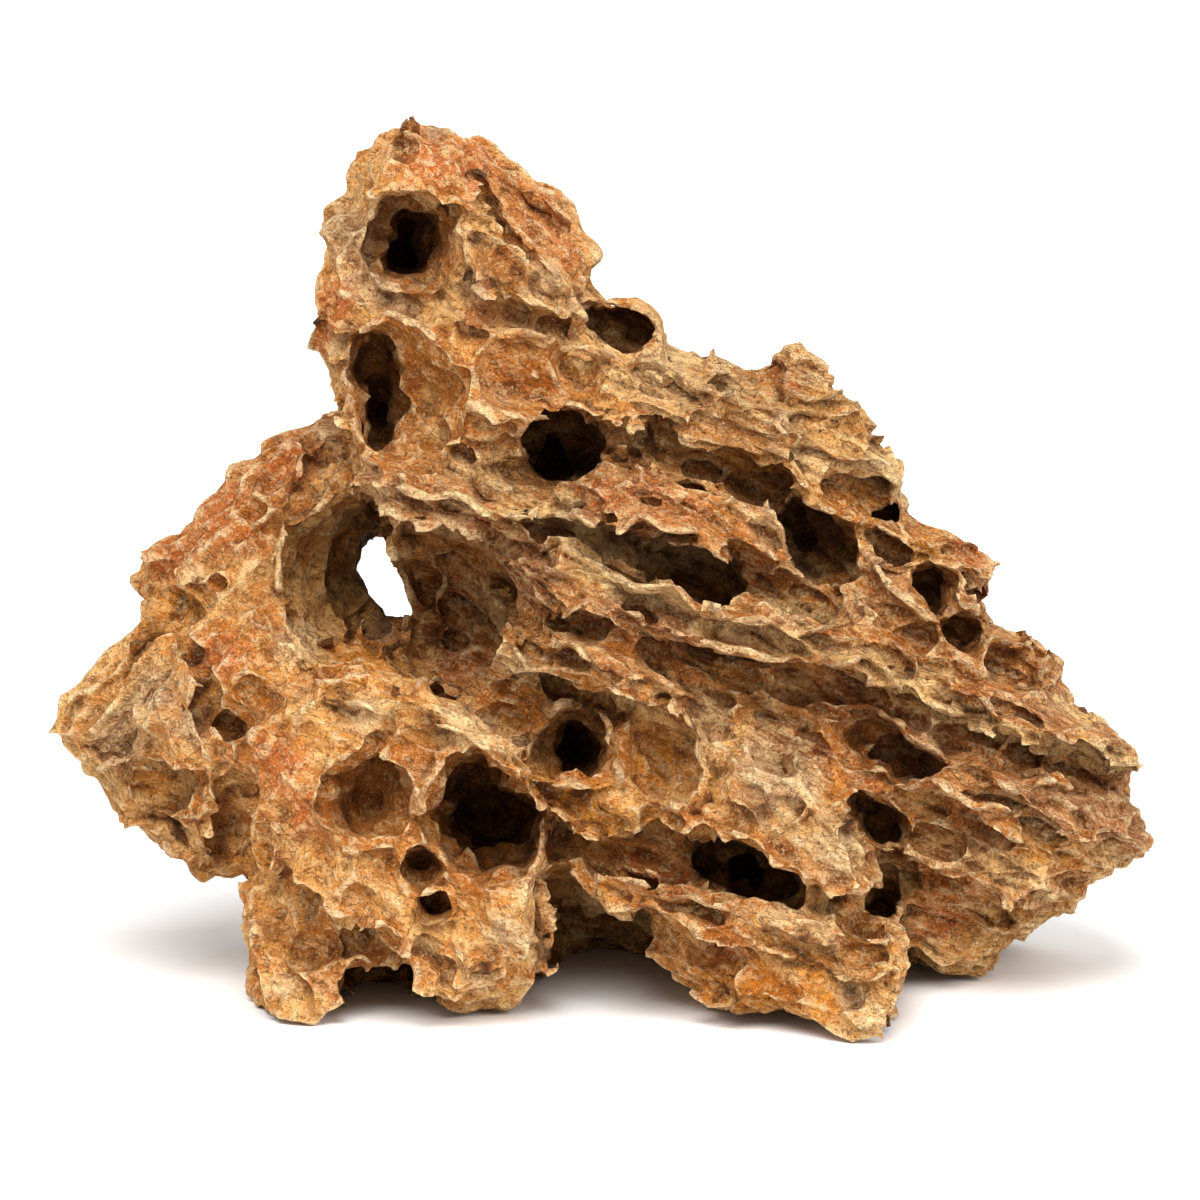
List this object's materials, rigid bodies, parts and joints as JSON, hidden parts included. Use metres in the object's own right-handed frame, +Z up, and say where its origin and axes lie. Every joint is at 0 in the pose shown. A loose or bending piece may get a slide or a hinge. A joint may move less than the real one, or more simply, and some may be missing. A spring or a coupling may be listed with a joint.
{
  "type": "dragon stone",
  "caption": "Natural weathered clay stone for an aquarium or terrarium, with a leaning peak, slanting beds, a tunnel and many hollows; stands by itself.",
  "frame": {"origin": "centre of the bounding box, on the surface that the stone stands on", "axes": "+Z up, +X to the right of the broad face, -Y out of the broad face"},
  "size_m": [0.24, 0.1326, 0.1868],
  "materials": {
    "stone": "rough weathered"
  },
  "bodies": {
    "root": {"dragon_stone": "stone"}
  },
  "joints": []
}
